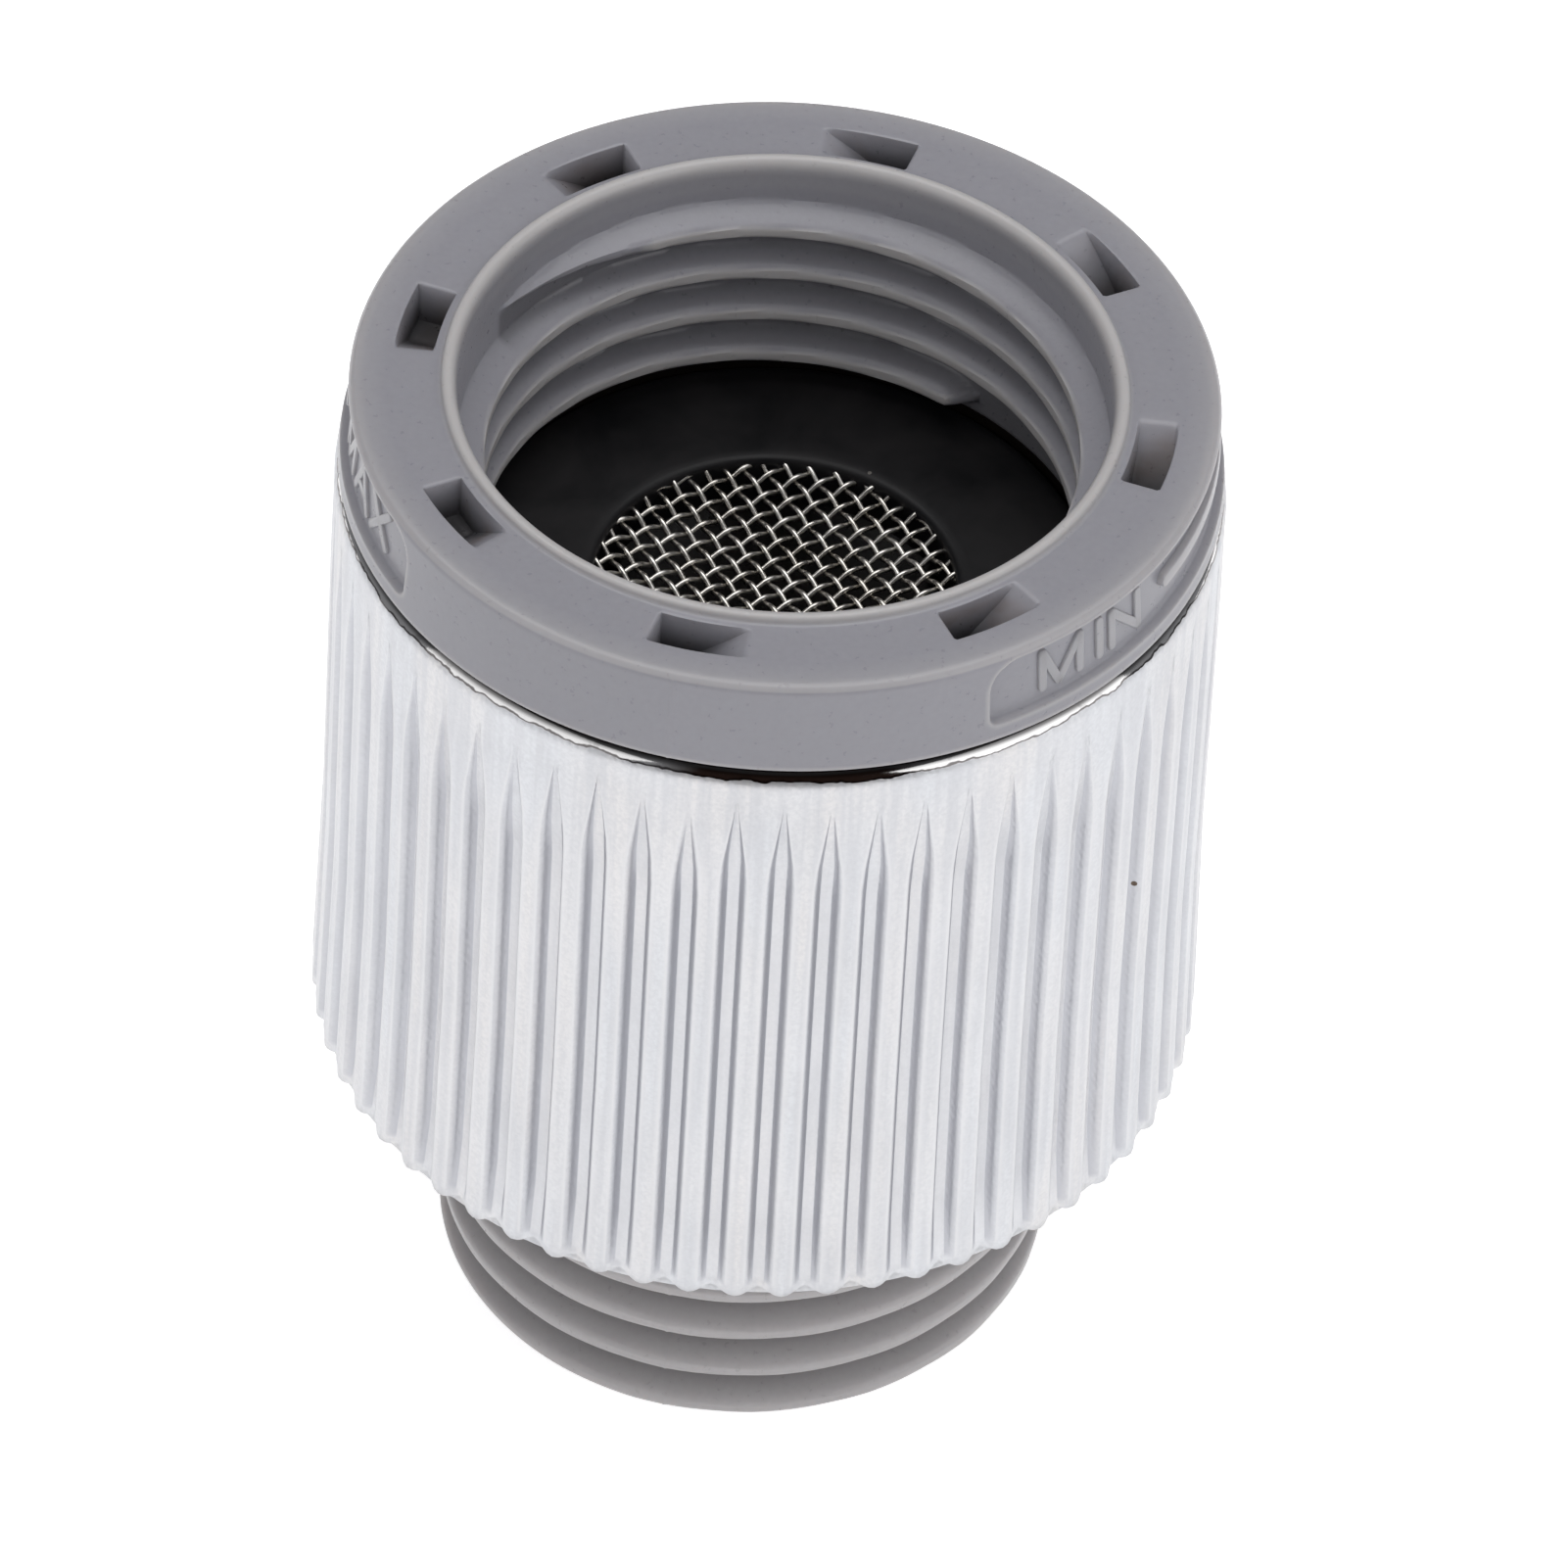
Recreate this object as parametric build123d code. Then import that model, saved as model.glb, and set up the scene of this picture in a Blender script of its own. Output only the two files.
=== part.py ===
"""Inline flow regulator for a shower hose, standing on its threaded outlet.

A ribbed grip sleeve turns about the upright water way between a fixed inlet collar and a fixed
outlet core. Two ribs inside the sleeve drive a ring whose windows open or throttle the upper
ports of the core. Water passes through them, down the gap inside the sleeve, and back into the
core through its lower ports. Millimetres, +Z up, origin at the centre of the outlet's end face.
"""
from build123d import *
from math import atan2, degrees, hypot
import os

# Fits
running_clearance = 0.08        # radial, between parts that turn on each other
seat_clearance = 0.05           # where a seal or a moulded stop meets its neighbour
washer_clearance = 0.15         # round the washer in its seat
axial_play = 0.1                # of the port ring on its shoulder

# Outlet core: threaded spigot, flange, sleeve bearing and ported tube
water_way_r = 7.2
outlet_thread_r = 10.4          # over the crests, G 1/2
outlet_thread_length = 11.6
outlet_thread_chamfer = 0.9
flange_thickness = 0.8
hub_length = 3.4                # of the sleeve bearing above the flange
core_tube_r = 8.9
lower_port_gap = 0.4            # from the hub up to the lower ports
lower_port_height = 2.8
partition_gap = 0.2             # from the lower ports up to the wall that closes the water way
partition_thickness = 1.2
shoulder_width = 0.8            # of the step on the tube that the port ring rests on
upper_port_gap = 1.0            # from the wall up to the upper ports
upper_port_height = 2.5
port_angle = 84.0
port_count = 2

# Port ring, turned by the sleeve
port_ring_wall = 1.92
port_ring_rim = 0.7             # of the ring above its windows
drive_rib_width = 4.0
drive_rib_bite = 0.85           # of the sleeve's drive ribs in the ring
drive_rib_angle = 90.0
drive_slot_clearance = 0.1

# Turning range and its stops
turn_range = 80.0               # from wide open to the smallest flow
stop_span = 10.0                # of each moulded stop on the hub
stop_play = 0.3                 # degrees between the lug and a stop that it meets
stop_height = 1.4
stop_radial_clearance = 0.3     # from a stop to the sleeve's bore
stop_lug_span = 20.0            # of the sleeve's lug that meets them
stop_lug_height = 1.2
stop_lug_clearance = 0.25       # from the core's tube to the lug
stop_lug_gap = 0.2              # from the hub up to the lug
stop_lug_angle = 90.0           # where the lug stands when the ports are wide open

# Inlet collar: flange, threaded socket and sleeve bearing
barrel_gap = 0.2                # from the port ring up to the collar's lower end
core_socket_depth = 2.6         # of the core's tube in the collar, up to the washer's seat
washer_seat_r = 10.6
washer_seat_height = 3.3
socket_thread_r = 9.5           # over the crests, G 1/2
socket_thread_length = 5.9
socket_entry_r = 10.5
socket_entry_depth = 1.7
lip_wall = 0.5
lip_height = 0.25
collar_height = 3.25            # from its underside to its flat top
collar_setback = 0.04           # of its lower edge from the sleeve's rim
collar_draft = 0.26             # from its lower to its upper edge
collar_bevel_height = 0.35
collar_bevel_width = 0.5
label_depth = 0.3
label_height = 2.2
label_rim = 0.6                 # of the collar left below the recess
label_start = -60.5             # anticlockwise from +X, seen from above
label_span = 275.0
label_upper_corner_r = 0.9
label_lower_corner_r = 0.3
pocket_count = 8
pocket_angle = 33.5
pocket_margin = 0.3             # from the lip to a pocket
pocket_width = 1.3
pocket_length = 3.3
pocket_floor_length = 1.5
pocket_depth = 1.5

# Grip sleeve
sleeve_bore_r = 12.6
sleeve_foot_wall = 1.36         # outside the seat of the lower seal
sleeve_rim_wall = 0.8           # outside the seat of the upper seal
sleeve_bevel_height = 0.5
sleeve_bevel_width = 0.3
sleeve_overhang = 0.3           # of the sleeve below the core's flange
sleeve_top_gap = 0.1            # between the sleeve and the collar
groove_count = 60
groove_depth = 0.43
groove_floor = 0.34             # width of a groove's flat floor
groove_width = 0.86             # of a groove where it opens
groove_full_length = 17.5       # from the sleeve's foot to where a groove's floor starts to rise
groove_rise_length = 4.3

# Seals, in the corners between the sleeve and the fixed parts
seal_height = 1.0
seal_width = 0.9                # of the sleeve's seat for a seal

# Inlet washer and its strainer
washer_hole_r = 6.25
washer_thickness = 2.0
screen_thickness = 0.3
screen_edge = 0.2               # left whole round the gaps
screen_height = 1.05            # from the washer's underside to the screen
screen_pitch = 1.5
screen_gap = 1.2
screen_rows = 8
screen_turn = 45.0

# Levels, from the outlet's end face upwards
flange_z = outlet_thread_length
flange_top_z = flange_z + flange_thickness
hub_top_z = flange_top_z + hub_length
stop_lug_z = hub_top_z + stop_lug_gap
lower_port_z = hub_top_z + lower_port_gap
lower_port_top_z = lower_port_z + lower_port_height
partition_z = lower_port_top_z + partition_gap
shoulder_top_z = partition_z + partition_thickness
port_ring_z = shoulder_top_z + axial_play
upper_port_z = shoulder_top_z + upper_port_gap
upper_port_top_z = upper_port_z + upper_port_height
port_ring_top_z = upper_port_top_z + port_ring_rim
barrel_z = port_ring_top_z + barrel_gap
washer_seat_z = barrel_z + core_socket_depth
thread_end_z = washer_seat_z + washer_seat_height
thread_start_z = thread_end_z + socket_thread_length
lip_top_z = thread_start_z + socket_entry_depth
collar_top_z = lip_top_z - lip_height
collar_z = collar_top_z - collar_height
sleeve_z = flange_z - sleeve_overhang
sleeve_step_z = flange_top_z + seal_height + seat_clearance
sleeve_top_z = collar_z - sleeve_top_gap
upper_seal_z = collar_z - seat_clearance - seal_height
screen_z = washer_seat_z + screen_height

# Radii that follow from a fit
shoulder_r = core_tube_r + shoulder_width
port_ring_r = core_tube_r + running_clearance + port_ring_wall
drive_rib_r = port_ring_r - drive_rib_bite
bearing_r = sleeve_bore_r - running_clearance
seal_seat_r = sleeve_bore_r + seal_width
flange_r = seal_seat_r - 2 * seat_clearance
sleeve_bottom_r = seal_seat_r + sleeve_foot_wall
sleeve_rim_r = seal_seat_r + sleeve_rim_wall
collar_bottom_r = sleeve_rim_r - collar_setback
collar_top_r = collar_bottom_r - collar_draft
stop_lug_r = shoulder_r + stop_lug_clearance
lip_r = socket_entry_r + lip_wall
pocket_inner_r = lip_r + pocket_margin
pocket_outer_r = pocket_inner_r + pocket_width
washer_r = washer_seat_r - washer_clearance
overshoot = 1.0                 # of a cutting body past the face that it opens


def turned(*points):
    """A solid of revolution about the water way, from the (radius, height) corners of its half section."""
    return revolve(make_face(Plane.XZ * Polyline(*points, close=True)), Axis.Z)


def ring(inner_r, outer_r, low_z, high_z):
    """A plain ring about the water way."""
    return turned((inner_r, low_z), (outer_r, low_z), (outer_r, high_z), (inner_r, high_z))


def sector(inner_r, outer_r, low_z, high_z, start, span):
    """A part of such a ring, anticlockwise from a bearing over an angle."""
    corners = [(inner_r, low_z), (outer_r, low_z), (outer_r, high_z), (inner_r, high_z)]
    section = make_face(Plane.XZ * Polyline(*corners, close=True))
    return Rot(Z=start) * revolve(section, Axis.Z, span)


def lug(angle, width, inner_r, outer_r, low_z, high_z):
    """A block with parallel sides between two radii, at a bearing."""
    block = Pos(outer_r, 0, (low_z + high_z) / 2) * Box(2 * outer_r, width, high_z - low_z)
    return Rot(Z=angle) * (block & ring(inner_r, outer_r, low_z, high_z))


def ports(inner_r, outer_r, low_z, high_z):
    """The windows of the core or of the port ring, in line when the valve is wide open."""
    step = 360 / port_count
    return [sector(inner_r, outer_r, low_z, high_z, n * step - port_angle / 2, port_angle)
            for n in range(port_count)]


def sleeve_seal(low_z):
    """A seal between a fixed bearing and the sleeve's counterbore, drawn as squeezed in place."""
    return ring(bearing_r + seat_clearance, seal_seat_r - seat_clearance, low_z, low_z + seal_height)


def stops():
    """The moulded stops on the hub that the sleeve's lug meets at the two ends of its turn."""
    reach = stop_lug_span / 2 + stop_play
    return [sector(core_tube_r, sleeve_bore_r - stop_radial_clearance, hub_top_z - seat_clearance,
                   hub_top_z + stop_height, start, stop_span)
            for start in (stop_lug_angle + reach, stop_lug_angle - turn_range - reach - stop_span)]


def outlet_core():
    """Spigot, flange, sleeve bearing and ported tube in one moulding, with a wall between its ports."""
    core = turned(
        (0, 0), (outlet_thread_r - outlet_thread_chamfer, 0), (outlet_thread_r, outlet_thread_chamfer),
        (outlet_thread_r, flange_z), (flange_r, flange_z), (flange_r, flange_top_z),
        (bearing_r, flange_top_z), (bearing_r, hub_top_z), (shoulder_r, hub_top_z),
        (shoulder_r, shoulder_top_z), (core_tube_r, shoulder_top_z), (core_tube_r, washer_seat_z),
        (0, washer_seat_z))
    core -= turned((0, 0), (water_way_r, 0), (water_way_r, partition_z), (0, partition_z))
    core -= turned(
        (0, shoulder_top_z), (water_way_r, shoulder_top_z), (water_way_r, washer_seat_z), (0, washer_seat_z))
    core -= ports(water_way_r - overshoot, shoulder_r + overshoot, lower_port_z, lower_port_top_z)
    core -= ports(water_way_r - overshoot, core_tube_r + overshoot, upper_port_z, upper_port_top_z)
    core += stops()
    return core


def port_ring():
    """The ring that the sleeve turns over the core's upper ports."""
    windowed = ring(core_tube_r + running_clearance, port_ring_r, port_ring_z, port_ring_top_z)
    windowed -= ports(core_tube_r - overshoot, port_ring_r + overshoot, upper_port_z, upper_port_top_z)
    slot_width = drive_rib_width + 2 * drive_slot_clearance
    for side in (0, 180):
        windowed -= lug(drive_rib_angle + side, slot_width, drive_rib_r - drive_slot_clearance,
                        port_ring_r + overshoot, port_ring_z, port_ring_top_z)
    return windowed


def drive_pocket():
    """One driving pocket of the collar's top, on the +X side: a wall clockwise, a ramp anticlockwise."""
    floor_z = collar_top_z - pocket_depth
    top_z = collar_top_z + overshoot
    wall_y = -pocket_length / 2
    ramp_y = wall_y + pocket_floor_length
    ramp_run = (pocket_length - pocket_floor_length) * (top_z - floor_z) / pocket_depth
    corners = [(wall_y, floor_z), (ramp_y, floor_z), (ramp_y + ramp_run, top_z), (wall_y, top_z)]
    wedge = extrude(make_face(Plane.YZ * Polyline(*corners, close=True)), 2 * pocket_outer_r)
    return wedge & ring(pocket_inner_r, pocket_outer_r, floor_z, top_z)


def label_recess():
    """The long shallow field round the collar's side that carries the turning marks."""
    low_z = collar_z + label_rim
    field = sector(collar_top_r - label_depth, collar_bottom_r + overshoot, low_z, low_z + label_height,
                   label_start, label_span)
    for level, corner_r in ((0, label_lower_corner_r), (-1, label_upper_corner_r)):
        corners = field.edges().filter_by(GeomType.LINE).group_by(Axis.Z)[level]
        field = fillet(corners, corner_r)
    return field


def inlet_collar():
    """Collar, threaded socket and sleeve bearing in one moulding, fixed on the core's upper end."""
    collar = turned(
        (0, barrel_z), (bearing_r, barrel_z), (bearing_r, collar_z), (collar_bottom_r, collar_z),
        (collar_top_r, collar_top_z - collar_bevel_height),
        (collar_top_r - collar_bevel_width, collar_top_z), (0, collar_top_z))
    collar += ring(socket_thread_r, lip_r, thread_start_z, lip_top_z)
    collar -= turned(
        (0, barrel_z), (core_tube_r, barrel_z), (core_tube_r, washer_seat_z),
        (washer_seat_r, washer_seat_z), (washer_seat_r, thread_end_z), (socket_thread_r, thread_end_z),
        (socket_thread_r, thread_start_z), (socket_entry_r, thread_start_z),
        (socket_entry_r, lip_top_z), (0, lip_top_z))
    collar -= label_recess()
    collar -= [Rot(Z=pocket_angle + n * 360 / pocket_count) * drive_pocket() for n in range(pocket_count)]
    return collar


def grip_groove():
    """One groove between two ribs: sloping sides, and a flat floor that rises out of the sleeve's wall."""
    lean = degrees(atan2(sleeve_bottom_r - sleeve_rim_r, sleeve_top_z - sleeve_bevel_height - sleeve_z))
    end_z = groove_full_length + 2 * groove_rise_length
    half_width = groove_width - groove_floor / 2
    section = make_face(Polyline(
        (-groove_depth, -groove_floor / 2), (groove_depth, -half_width),
        (groove_depth, half_width), (-groove_depth, groove_floor / 2), close=True))
    side = make_face(Plane.XZ * Polyline(
        (-groove_depth, -overshoot), (groove_depth, -overshoot), (groove_depth, end_z),
        (-groove_depth, groove_full_length), close=True))
    cutter = Pos(0, 0, -overshoot) * extrude(section, end_z + overshoot)
    cutter &= extrude(side, half_width, both=True)
    return Pos(sleeve_bottom_r, 0, sleeve_z) * Rot(Y=-lean) * cutter


def grip_sleeve():
    """The ribbed sleeve, with two ribs inside that drive the port ring and a lug that meets the stops."""
    sleeve = turned(
        (sleeve_bore_r, sleeve_step_z), (seal_seat_r, sleeve_step_z), (seal_seat_r, sleeve_z),
        (sleeve_bottom_r, sleeve_z), (sleeve_rim_r, sleeve_top_z - sleeve_bevel_height),
        (sleeve_rim_r - sleeve_bevel_width, sleeve_top_z), (seal_seat_r, sleeve_top_z),
        (seal_seat_r, upper_seal_z), (sleeve_bore_r, upper_seal_z))
    step = 360 / groove_count
    groove = grip_groove()
    sleeve -= [Rot(Z=(n + 0.5) * step) * groove for n in range(groove_count)]
    root_r = (sleeve_bore_r + sleeve_rim_r) / 2
    for side in (0, 180):
        sleeve += lug(drive_rib_angle + side, drive_rib_width, drive_rib_r, root_r,
                      port_ring_z, port_ring_top_z)
    sleeve += sector(stop_lug_r, root_r, stop_lug_z, stop_lug_z + stop_lug_height,
                     stop_lug_angle - stop_lug_span / 2, stop_lug_span)
    return sleeve


def sealing_washer():
    """The rubber washer in the socket."""
    return ring(washer_hole_r, washer_r, washer_seat_z, washer_seat_z + washer_thickness)


def filter_screen():
    """The strainer of woven wire in the washer's hole, as a disc with a grid of square gaps."""
    disc = Pos(0, 0, screen_z + screen_thickness / 2) * Cylinder(washer_hole_r, screen_thickness)
    gap = Box(screen_gap, screen_gap, 2 * screen_thickness)
    grid = [place.position for place in GridLocations(screen_pitch, screen_pitch, screen_rows, screen_rows)]
    disc -= [Pos(at.X, at.Y, screen_z) * gap for at in grid
             if hypot(abs(at.X) + screen_gap / 2, abs(at.Y) + screen_gap / 2) < washer_hole_r - screen_edge]
    return Rot(Z=screen_turn) * disc


nodes = {
    "outlet_core": outlet_core(),
    "inlet_collar": inlet_collar(),
    "grip_sleeve": grip_sleeve(),
    "port_ring": port_ring(),
    "sealing_washer": sealing_washer(),
    "filter_screen": filter_screen(),
    "lower_seal": sleeve_seal(flange_top_z),
    "upper_seal": sleeve_seal(upper_seal_z),
}
os.makedirs("parts", exist_ok=True)
for name, shape in nodes.items():
    export_step(shape, f"parts/{name}.step")
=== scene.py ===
from math import cos, pi, radians, sin, tau
import bpy, bmesh
import numpy as np
from mathutils import Matrix, Vector


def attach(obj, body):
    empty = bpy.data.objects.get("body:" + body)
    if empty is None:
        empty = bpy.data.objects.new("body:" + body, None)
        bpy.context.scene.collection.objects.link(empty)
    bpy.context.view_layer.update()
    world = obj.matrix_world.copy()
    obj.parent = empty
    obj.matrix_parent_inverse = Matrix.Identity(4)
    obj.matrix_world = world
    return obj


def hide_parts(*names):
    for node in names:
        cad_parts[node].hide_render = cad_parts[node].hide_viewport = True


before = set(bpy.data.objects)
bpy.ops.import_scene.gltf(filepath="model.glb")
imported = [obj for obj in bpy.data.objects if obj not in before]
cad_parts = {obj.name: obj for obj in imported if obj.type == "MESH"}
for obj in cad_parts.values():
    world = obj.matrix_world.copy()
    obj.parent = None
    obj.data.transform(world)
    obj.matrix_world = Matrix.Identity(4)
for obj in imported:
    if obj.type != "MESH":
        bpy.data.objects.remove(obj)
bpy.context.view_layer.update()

# --- Outlet core
# The fixed tube that the whole valve turns about, moulded in grey acetal plastic. Its foot is the
# outlet with a half-inch pipe thread, its flange carries the sleeve, and the collar is welded on top.
mm = 0.001


def put(tree, kind, inputs=None, **settings):
    """A node of a tree, with its settings, and with its inputs set or linked."""
    node = tree.nodes.new(kind)
    for name, value in settings.items():
        setattr(node, name, value)
    for name, value in (inputs or {}).items():
        if isinstance(value, bpy.types.NodeSocket):
            tree.links.new(value, node.inputs[name])
        else:
            node.inputs[name].default_value = value
    return node


def calc(tree, operation, *values):
    """One number from others, in a node tree."""
    return put(tree, "ShaderNodeMath", dict(enumerate(values)), operation=operation).outputs[0]


def shader_group(name, numbers, outputs):
    """An empty shader node group with named number inputs, and outputs of a given socket type."""
    group = bpy.data.node_groups.new(name, "ShaderNodeTree")
    for title, value in numbers.items():
        group.interface.new_socket(title, in_out="INPUT", socket_type="NodeSocketFloat").default_value = value
    for title, kind in outputs.items():
        group.interface.new_socket(title, in_out="OUTPUT", socket_type=kind)
    return group, group.nodes.new("NodeGroupInput").outputs, group.nodes.new("NodeGroupOutput").inputs


# Fine grain and slow mottling of a moulded or plated skin: Height for a bump, Tone for the colour
grain, given, out = shader_group(
    "skin_grain", {"Grain Scale": 5000.0, "Mottle Scale": 220.0},
    {"Height": "NodeSocketFloat", "Tone": "NodeSocketFloat"})
place = put(grain, "ShaderNodeTexCoord").outputs["Object"]
fine = put(grain, "ShaderNodeTexNoise", {"Vector": place, "Scale": given["Grain Scale"], "Detail": 3.0})
slow = put(grain, "ShaderNodeTexNoise",
           {"Vector": place, "Scale": given["Mottle Scale"], "Detail": 4.0, "Roughness": 0.62, "Distortion": 0.4})
grain.links.new(fine.outputs["Fac"], out["Height"])
grain.links.new(slow.outputs["Fac"], out["Tone"])

# Small flecks of dirt that stick to a skin: one at most in each cell, in a share of the cells
flecks, given, out = shader_group(
    "stuck_flecks", {"Cell Scale": 300.0, "Share": 0.05, "Size": 0.08}, {"Mask": "NodeSocketFloat"})
place = put(flecks, "ShaderNodeTexCoord").outputs["Object"]
cells = put(flecks, "ShaderNodeTexVoronoi", {"Vector": place, "Scale": given["Cell Scale"]})
pick = put(flecks, "ShaderNodeSeparateColor", {"Color": cells.outputs["Color"]})
chosen = calc(flecks, "LESS_THAN", pick.outputs["Red"], given["Share"])
spread = calc(flecks, "MULTIPLY", pick.outputs["Green"], given["Size"])
near = calc(flecks, "LESS_THAN", cells.outputs["Distance"], spread)
flecks.links.new(calc(flecks, "MULTIPLY", chosen, near), out["Mask"])


def group_node(tree, group, **numbers):
    """A shader group in a material, with its own values."""
    node = tree.nodes.new("ShaderNodeGroup")
    node.node_tree = group
    for name, value in numbers.items():
        node.inputs[name.replace("_", " ")].default_value = value
    return node


def blend(tree, factor, a, b):
    """Two colours, or a colour and a socket, mixed by a factor."""
    return put(tree, "ShaderNodeMix", {0: factor, 6: a, 7: b}, data_type="RGBA").outputs[2]


def between(tree, share, a, b):
    """A number that lies a share of the way from one number to another."""
    return put(tree, "ShaderNodeMix", {0: share, 2: a, 3: b}, data_type="FLOAT").outputs[0]


def ranged(tree, value, low, high, to_low, to_high):
    """A number carried from one range to another, and kept inside it."""
    return put(tree, "ShaderNodeMapRange", {
        "Value": value, "From Min": low, "From Max": high, "To Min": to_low, "To Max": to_high}).outputs[0]


def carried(tree, name):
    """A number that the piece's mesh carries at its points."""
    return put(tree, "ShaderNodeAttribute", attribute_name=name).outputs["Fac"]


def blank_material(name):
    """A new material and its node tree, still empty."""
    material = bpy.data.materials.new(name)
    material.use_nodes = True
    material.node_tree.nodes.clear()
    return material, material.node_tree


def moulded_plastic(name, body, thin, dirt):
    """Moulded plastic: a fine grain, a slow change of tone, a painted highlight on edges that catch the light, stains
    in patches, painted shade in hollows, and flecks of dirt.
    """
    material, tree = blank_material(name)
    skin = group_node(tree, grain, Grain_Scale=4200.0, Mottle_Scale=170.0)
    fleck = group_node(tree, flecks, Cell_Scale=260.0, Share=0.025, Size=0.08)
    deep = [0.93 * c for c in body[:3]] + [1.0]
    speckle = between(tree, 0.7, skin.outputs["Tone"], skin.outputs["Height"])
    colour = blend(tree, ranged(tree, speckle, 0.3, 0.7, 0.0, 1.0), deep, body)
    # Painted highlight: paler on edges, crests and raised marks where they catch the light
    colour = blend(tree, carried(tree, "thin"), colour, thin)
    patches = ranged(tree, skin.outputs["Tone"], 0.48, 0.6, 0.0, 1.0)
    colour = blend(tree, calc(tree, "MULTIPLY", carried(tree, "stain"), patches), colour, dirt)
    # Painted shade: near black in pockets, thread valleys, chambers and gaps where shade falls
    colour = blend(tree, carried(tree, "grime"), colour, (0.008, 0.006, 0.005, 1.0))
    colour = blend(tree, fleck.outputs["Mask"], colour, (0.09, 0.07, 0.055, 1.0))
    rough = ranged(tree, skin.outputs["Height"], 0.3, 0.7, 0.27, 0.35)
    bump = put(tree, "ShaderNodeBump", {"Height": skin.outputs["Height"], "Strength": 0.12, "Distance": 0.00006})
    shader = put(tree, "ShaderNodeBsdfPrincipled", {
        "Base Color": colour, "Roughness": rough, "Normal": bump.outputs[0], "IOR": 1.48,
        "Subsurface Weight": 0.16, "Subsurface Radius": (1.0, 0.75, 0.6), "Subsurface Scale": 0.0009})
    put(tree, "ShaderNodeOutputMaterial", {"Surface": shader.outputs[0]})
    return material


warm_grey_plastic = moulded_plastic(
    "warm_grey_acetal", (0.445, 0.428, 0.434, 1.0), (0.52, 0.505, 0.50, 1.0), (0.16, 0.105, 0.07, 1.0))


def revolved(name, bearing, radius, height, **masks):
    """A closed skin from a grid of points: a row for each line round the axis, a column for each bearing."""
    rows, columns = radius.shape
    points = np.stack([radius * np.cos(bearing), radius * np.sin(bearing), height], axis=-1) * mm
    row, column = np.meshgrid(np.arange(rows), np.arange(columns), indexing="ij")
    up, on = (row + 1) % rows, (column + 1) % columns
    faces = np.stack([row * columns + column, row * columns + on, up * columns + on, up * columns + column], -1)
    mesh = bpy.data.meshes.new(name)
    mesh.from_pydata(points.reshape(-1, 3).tolist(), [], faces.reshape(-1, 4).tolist())
    for mask, values in masks.items():
        layer = mesh.attributes.new(mask, "FLOAT", "POINT")
        layer.data.foreach_set("value", np.broadcast_to(values, radius.shape).astype(np.float32).ravel())
    return mesh


def shown(name, mesh, material, angle=40.0):
    """An object of the scene from a mesh, smooth but for its sharp edges, with one material."""
    mesh.materials.clear()
    mesh.materials.append(material)
    mesh.polygons.foreach_set("material_index", [0] * len(mesh.polygons))
    mesh.shade_smooth()
    mesh.set_sharp_from_angle(angle=radians(angle))
    mesh.validate()
    piece = bpy.data.objects.new(name, mesh)
    bpy.context.scene.collection.objects.link(piece)
    return piece


def merged_copy(node):
    """A copy of a solid of the frame, with its loose triangles joined into one skin."""
    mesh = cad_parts[node].data.copy()
    skin = bmesh.new()
    skin.from_mesh(mesh)
    bmesh.ops.remove_doubles(skin, verts=skin.verts, dist=0.001 * mm)
    skin.to_mesh(mesh)
    skin.free()
    return mesh


def cut(piece, cutter):
    """The piece with the cutter taken away, as a plain mesh."""
    modifier = piece.modifiers.new("cut", "BOOLEAN")
    modifier.operation, modifier.solver, modifier.object = "DIFFERENCE", "EXACT", cutter
    result = bpy.data.meshes.new_from_object(piece.evaluated_get(bpy.context.evaluated_depsgraph_get()))
    piece.modifiers.remove(modifier)
    piece.data = result
    bpy.data.objects.remove(cutter)
    return piece


def ridge(offset, half_crest, half_foot):
    """How far up a rounded thread ridge a point is, 0 to 1, from its height off the ridge's middle."""
    slope = np.clip((half_foot - np.abs(offset)) / (half_foot - half_crest), 0.0, 1.0)
    return 0.45 * slope + 0.55 * slope * slope * (3.0 - 2.0 * slope)


# The thread is cut by one closed skin: its inner face is the thread's surface, row by row up the spigot
thread_pitch = 1.814
thread_level = 2.62  # of the ridge's middle, in front
spigot_crest_r, spigot_root_r, spigot_tube_r = 10.38, 9.25, 10.39
crest_half, ridge_half = 0.17, 0.82
run_out_z, run_out_long = 10.3, 0.9
foot_edge_r, foot_swell, foot_chamfer = 9.92, 0.44, 0.5
seam_bearing, seam_half, seam_proud = 257.8, 0.3, 0.03  # the mould's parting line, in degrees and mm
cutter_outer_r = 11.6
spigot_bearing = np.radians(np.concatenate([
    np.arange(0.0, 257.0, 1.5), [257.4, 257.6, 257.8, 258.0, 258.3], np.arange(259.5, 360.0, 1.5)]))
spigot_level = np.concatenate([[-0.6, 0.0, 0.03, 0.08, 0.15, 0.24, 0.34, 0.44], np.arange(0.52, 11.36, 0.115)])
turn, level = np.meshgrid(spigot_bearing, spigot_level)
wound_up = thread_pitch * (turn - 1.5 * pi) / tau
offset = (level - thread_level - wound_up + thread_pitch / 2) % thread_pitch - thread_pitch / 2
lift = ridge(offset, crest_half, ridge_half)
lift = np.maximum(lift, np.clip((level - run_out_z) / run_out_long, 0.0, 1.0))
thread_r = spigot_root_r + (spigot_crest_r - spigot_root_r) * lift
below_edge = np.clip((foot_chamfer - level) / foot_chamfer, 0.0, 1.0)
foot_r = foot_edge_r + foot_swell * np.sqrt(np.clip(1.0 - below_edge ** 2, 0.0, 1.0))
thread_r = np.minimum(thread_r, foot_r)
thread_r += seam_proud * np.exp(-((turn - radians(seam_bearing)) / radians(seam_half)) ** 2)
thread_r[0], thread_r[-1] = thread_r[1], spigot_tube_r
one_row = np.ones((1, len(spigot_bearing)))
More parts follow.
